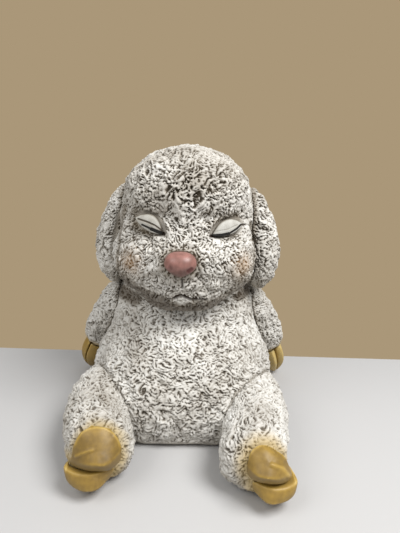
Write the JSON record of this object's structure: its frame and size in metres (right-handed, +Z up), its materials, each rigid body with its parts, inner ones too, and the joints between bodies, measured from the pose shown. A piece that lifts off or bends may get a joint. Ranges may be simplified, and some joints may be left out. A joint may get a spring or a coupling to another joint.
{
  "type": "sheep statue",
  "caption": "Free-standing seated sheep ornament of cast resin with carved wool, closed eyes, drooping ears and ochre cloven hooves.",
  "frame": {"origin": "on the surface it stands on, at the underside of the felt, under the middle of the belly", "axes": "+Z up, the sheep faces -Y, its own left side is +X"},
  "size_m": [0.2499, 0.2674, 0.2698],
  "materials": {
    "wool_resin": "matte",
    "hoof_resin": "satin",
    "nose_resin": "satin",
    "lid_resin": "matte",
    "plain_resin": "matte",
    "steel": "satin",
    "beech": "matte",
    "felt": "matte"
  },
  "bodies": {
    "root": {"torso": "wool_resin", "head": "wool_resin", "left_ear": "wool_resin", "right_ear": "wool_resin", "left_foreleg": "wool_resin", "right_foreleg": "wool_resin", "left_hind_leg": "wool_resin", "right_hind_leg": "wool_resin", "tail": "wool_resin", "left_fore_outer_claw": "hoof_resin", "left_fore_inner_claw": "hoof_resin", "right_fore_outer_claw": "hoof_resin", "right_fore_inner_claw": "hoof_resin", "left_hind_upper_claw": "hoof_resin", "left_hind_lower_claw": "hoof_resin", "right_hind_upper_claw": "hoof_resin", "right_hind_lower_claw": "hoof_resin", "nose": "nose_resin", "left_eyelid": "lid_resin", "right_eyelid": "lid_resin", "base_plate": "plain_resin", "neck_sleeve": "plain_resin", "felt_base": "felt", "left_ear_pin": "steel", "right_ear_pin": "steel", "tail_pin": "steel", "left_shoulder_dowel": "beech", "right_shoulder_dowel": "beech", "left_hip_dowel": "beech", "right_hip_dowel": "beech"}
  },
  "joints": []
}
